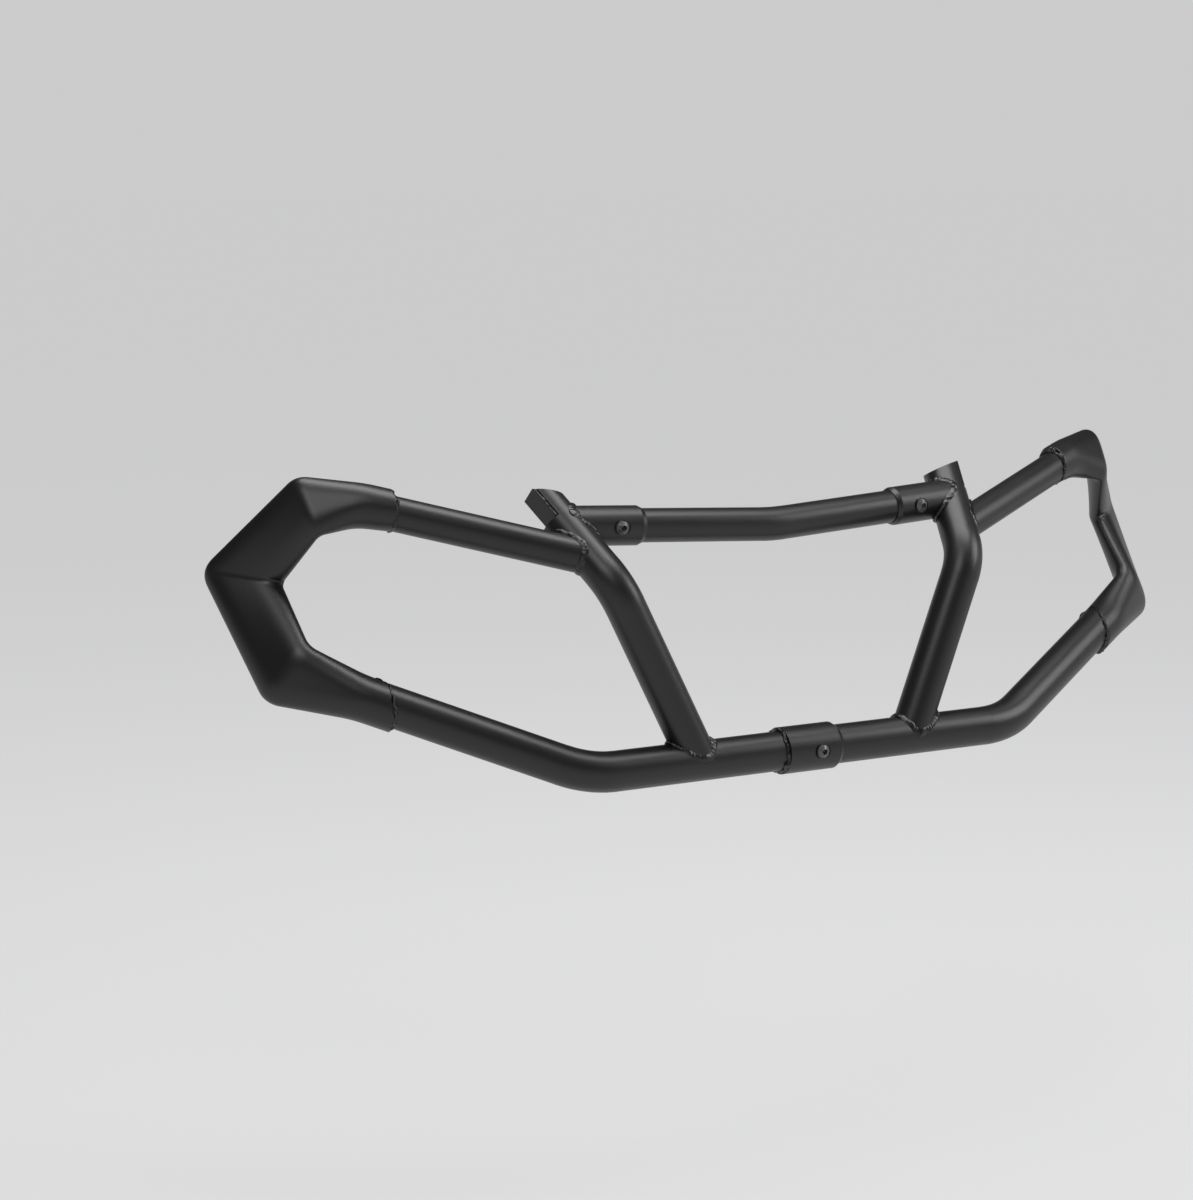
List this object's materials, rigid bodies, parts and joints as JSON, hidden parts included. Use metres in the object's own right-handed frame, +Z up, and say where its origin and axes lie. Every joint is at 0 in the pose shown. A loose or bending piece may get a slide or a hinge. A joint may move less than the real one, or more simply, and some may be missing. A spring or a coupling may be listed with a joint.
{
  "type": "atv front bumper",
  "caption": "Tubular steel front bumper with braced uprights, a bolted centre bar and formed side guards around the headlights.",
  "frame": {"origin": "midway between the two lower mounting holes, on the brackets' rear faces", "axes": "+X to the right as seen from the front, +Y to the rear (into the vehicle), +Z up; left and right are as seen from the front"},
  "size_m": [1.1754, 0.2579, 0.3264],
  "materials": {
    "black_coat": "satin black powder coat",
    "weld": "weld beads under satin black powder coat",
    "bolt_steel": "black oxide steel"
  },
  "bodies": {
    "root": {"left_lower_tube": "black_coat", "right_lower_tube": "black_coat", "lower_coupler": "black_coat", "left_upright": "black_coat", "right_upright": "black_coat", "left_end_plate": "black_coat", "right_end_plate": "black_coat", "left_upper_tube": "black_coat", "right_upper_tube": "black_coat", "left_bar_socket": "black_coat", "right_bar_socket": "black_coat", "centre_bar": "black_coat", "left_side_guard": "black_coat", "right_side_guard": "black_coat", "left_mount_bracket": "black_coat", "right_mount_bracket": "black_coat", "left_socket_bolt": "bolt_steel", "right_socket_bolt": "bolt_steel", "coupler_bolt": "bolt_steel", "left_socket_washer": "bolt_steel", "right_socket_washer": "bolt_steel", "coupler_washer": "bolt_steel", "left_socket_nut": "bolt_steel", "right_socket_nut": "bolt_steel", "coupler_nut": "bolt_steel", "left_tube_welds": "weld", "right_tube_welds": "weld", "left_guard_welds": "weld", "right_guard_welds": "weld", "left_bracket_welds": "weld", "right_bracket_welds": "weld", "coupler_weld": "weld"}
  },
  "joints": []
}
